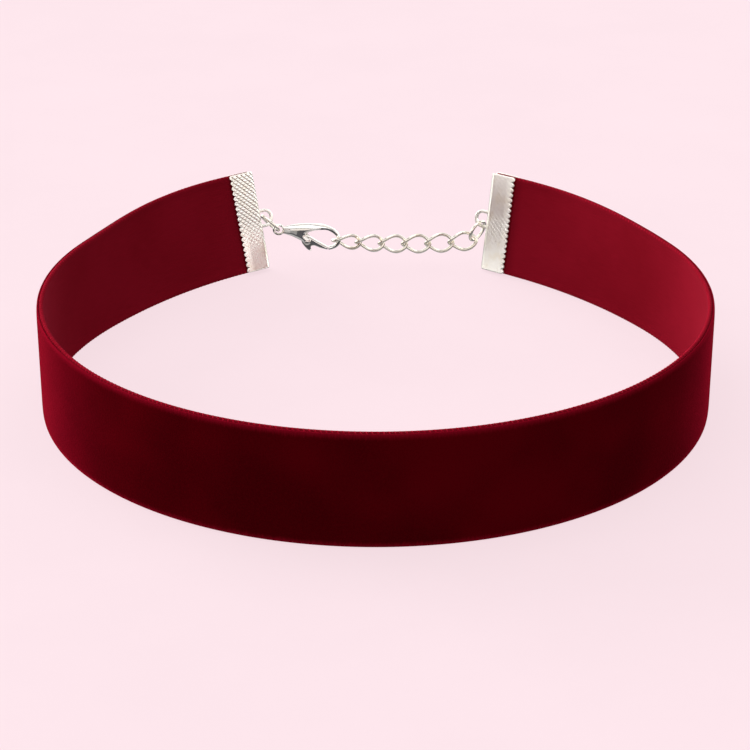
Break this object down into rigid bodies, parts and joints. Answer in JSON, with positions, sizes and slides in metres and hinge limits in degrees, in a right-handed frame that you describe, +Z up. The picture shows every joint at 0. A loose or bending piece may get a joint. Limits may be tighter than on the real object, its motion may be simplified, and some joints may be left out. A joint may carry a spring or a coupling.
{
  "type": "choker necklace",
  "caption": "Velvet ribbon choker closed at the back by stamped crimp ends, a lobster clasp and a short twisted-link chain.",
  "frame": {"origin": "middle of the whole object's plan, on the plane that the band's lower edge stands on", "axes": "+Z up along the neck opening, -Y to the middle of the front of the band, +Y to the closure, +X to the right seen from the front"},
  "size_m": [0.1126, 0.117, 0.0191],
  "materials": {
    "velvet": "dark crimson velvet pile with a satin back",
    "stamped_metal": "silver-plated sheet with a stamped diamond knurl",
    "polished_metal": "polished silver plate",
    "wire_metal": "polished silver-plated wire, slightly warm"
  },
  "bodies": {
    "choker": {"ribbon": "velvet", "crimp_left": "stamped_metal", "crimp_right": "stamped_metal", "jump_ring_left": "wire_metal", "clasp_body": "polished_metal", "clasp_pin": "polished_metal", "chain_link_1": "wire_metal", "chain_link_2": "wire_metal", "chain_link_3": "wire_metal", "chain_link_4": "wire_metal", "chain_link_5": "wire_metal", "chain_link_6": "wire_metal", "jump_ring_right": "wire_metal"},
    "clasp_gate": {"clasp_lever": "polished_metal"}
  },
  "joints": [
    {"name": "clasp_lever_hinge", "type": "hinge", "parent": "choker", "child": "clasp_gate", "pos_m": [-0.01321, 0.05575, 0.00507], "axis": [0, -1, 0], "range_deg": [0, 30], "stiffness_Nm_per_rad": 0.004, "springref_deg": -14.32}
  ]
}
